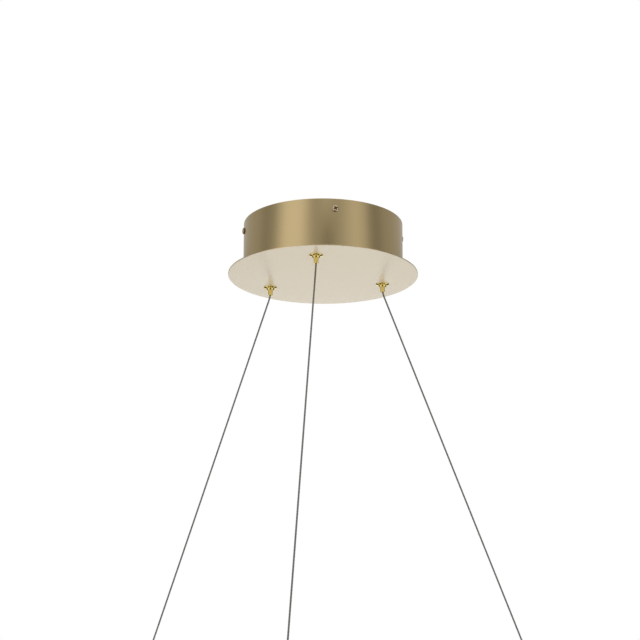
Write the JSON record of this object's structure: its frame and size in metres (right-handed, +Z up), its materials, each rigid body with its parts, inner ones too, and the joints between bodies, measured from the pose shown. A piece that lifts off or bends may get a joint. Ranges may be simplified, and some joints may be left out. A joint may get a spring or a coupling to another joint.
{
  "type": "led ring chandelier",
  "caption": "Round brass ceiling canopy with a wide cover plate and spring-ball wire grippers, from which straight steel wires spread down to a lit ring.",
  "frame": {"origin": "on the ceiling plane, where the canopy's axis meets it", "axes": "+Z up along the canopy's axis, +X and +Y along the arms of the ceiling bracket"},
  "size_m": [0.7999, 0.7999, 0.84],
  "materials": {
    "canopy_brass": "satin brushed champagne brass, brushed round the drum",
    "plate_enamel": "semi-gloss warm beige enamel",
    "gripper_gold": "polished gold-coloured brass",
    "brass_screw": "satin champagne brass",
    "earth_brass": "plain turned brass",
    "zinc_steel": "bright zinc plating",
    "wire_steel": "bare stranded steel wire rope",
    "ball_steel": "hard bright steel",
    "crimp_copper": "crimped copper",
    "driver_plastic": "matte white plastic",
    "terminal_plastic": "cream terminal plastic",
    "ring_brass": "aluminium anodised satin champagne brass",
    "opal_acrylic": "opal acrylic",
    "strip_board": "white circuit strip",
    "led_phosphor": "yellow phosphor in a white frame",
    "bare_aluminium": "bare aluminium"
  },
  "bodies": {
    "canopy": {"ceiling_bracket": "zinc_steel", "bracket_nuts": "zinc_steel", "side_screws": "brass_screw", "earth_screw": "earth_brass", "earth_washer": "zinc_steel", "canopy_drum": "canopy_brass", "canopy_plate": "plate_enamel", "plate_studs": "zinc_steel", "plate_nuts": "zinc_steel", "driver_base": "driver_plastic", "driver_cover": "driver_plastic", "driver_end_caps": "driver_plastic", "driver_cap_screws": "zinc_steel", "terminal_block": "terminal_plastic", "terminal_screws": "zinc_steel", "terminal_stud": "zinc_steel", "terminal_nut": "zinc_steel", "gripper_nuts": "gripper_gold", "wire_crimps": "crimp_copper", "gripper_flange_1": "gripper_gold", "gripper_body_1": "gripper_gold", "gripper_plug_1": "gripper_gold", "gripper_spring_1": "ball_steel", "wire_tail_1": "wire_steel", "wire_1": "wire_steel", "gripper_flange_2": "gripper_gold", "gripper_body_2": "gripper_gold", "gripper_plug_2": "gripper_gold", "gripper_spring_2": "ball_steel", "wire_tail_2": "wire_steel", "wire_2": "wire_steel", "gripper_flange_3": "gripper_gold", "gripper_body_3": "gripper_gold", "gripper_plug_3": "gripper_gold", "gripper_spring_3": "ball_steel", "wire_tail_3": "wire_steel", "wire_3": "wire_steel"},
    "ring": {"ring_housing": "ring_brass", "ring_diffuser": "opal_acrylic", "led_strip": "strip_board", "led_chips": "led_phosphor", "ring_splice": "bare_aluminium", "splice_screws": "zinc_steel", "anchor_nuts": "zinc_steel", "wire_ferrules": "bare_aluminium", "wire_ends": "wire_steel", "ring_anchor_1": "ring_brass", "ring_anchor_2": "ring_brass", "ring_anchor_3": "ring_brass"},
    "nose_1": {"gripper_nose_1": "gripper_gold", "gripper_balls_1": "ball_steel"},
    "nose_2": {"gripper_nose_2": "gripper_gold", "gripper_balls_2": "ball_steel"},
    "nose_3": {"gripper_nose_3": "gripper_gold", "gripper_balls_3": "ball_steel"}
  },
  "joints": [
    {"name": "ring_height", "type": "slide", "parent": "canopy", "child": "ring", "axis": [0, 0, 1], "range_m": [0, 0.4], "deforming": ["wire_1", "wire_2", "wire_3"]},
    {"name": "nose_1_press", "type": "slide", "parent": "canopy", "child": "nose_1", "axis": [0, 0, 1], "range_m": [0, 0.0016], "stiffness_N_per_m": 300, "springref_m": -0.003, "deforming": ["gripper_spring_1"]},
    {"name": "nose_2_press", "type": "slide", "parent": "canopy", "child": "nose_2", "axis": [0, 0, 1], "range_m": [0, 0.0016], "stiffness_N_per_m": 300, "springref_m": -0.003, "deforming": ["gripper_spring_2"]},
    {"name": "nose_3_press", "type": "slide", "parent": "canopy", "child": "nose_3", "axis": [0, 0, 1], "range_m": [0, 0.0016], "stiffness_N_per_m": 300, "springref_m": -0.003, "deforming": ["gripper_spring_3"]}
  ]
}
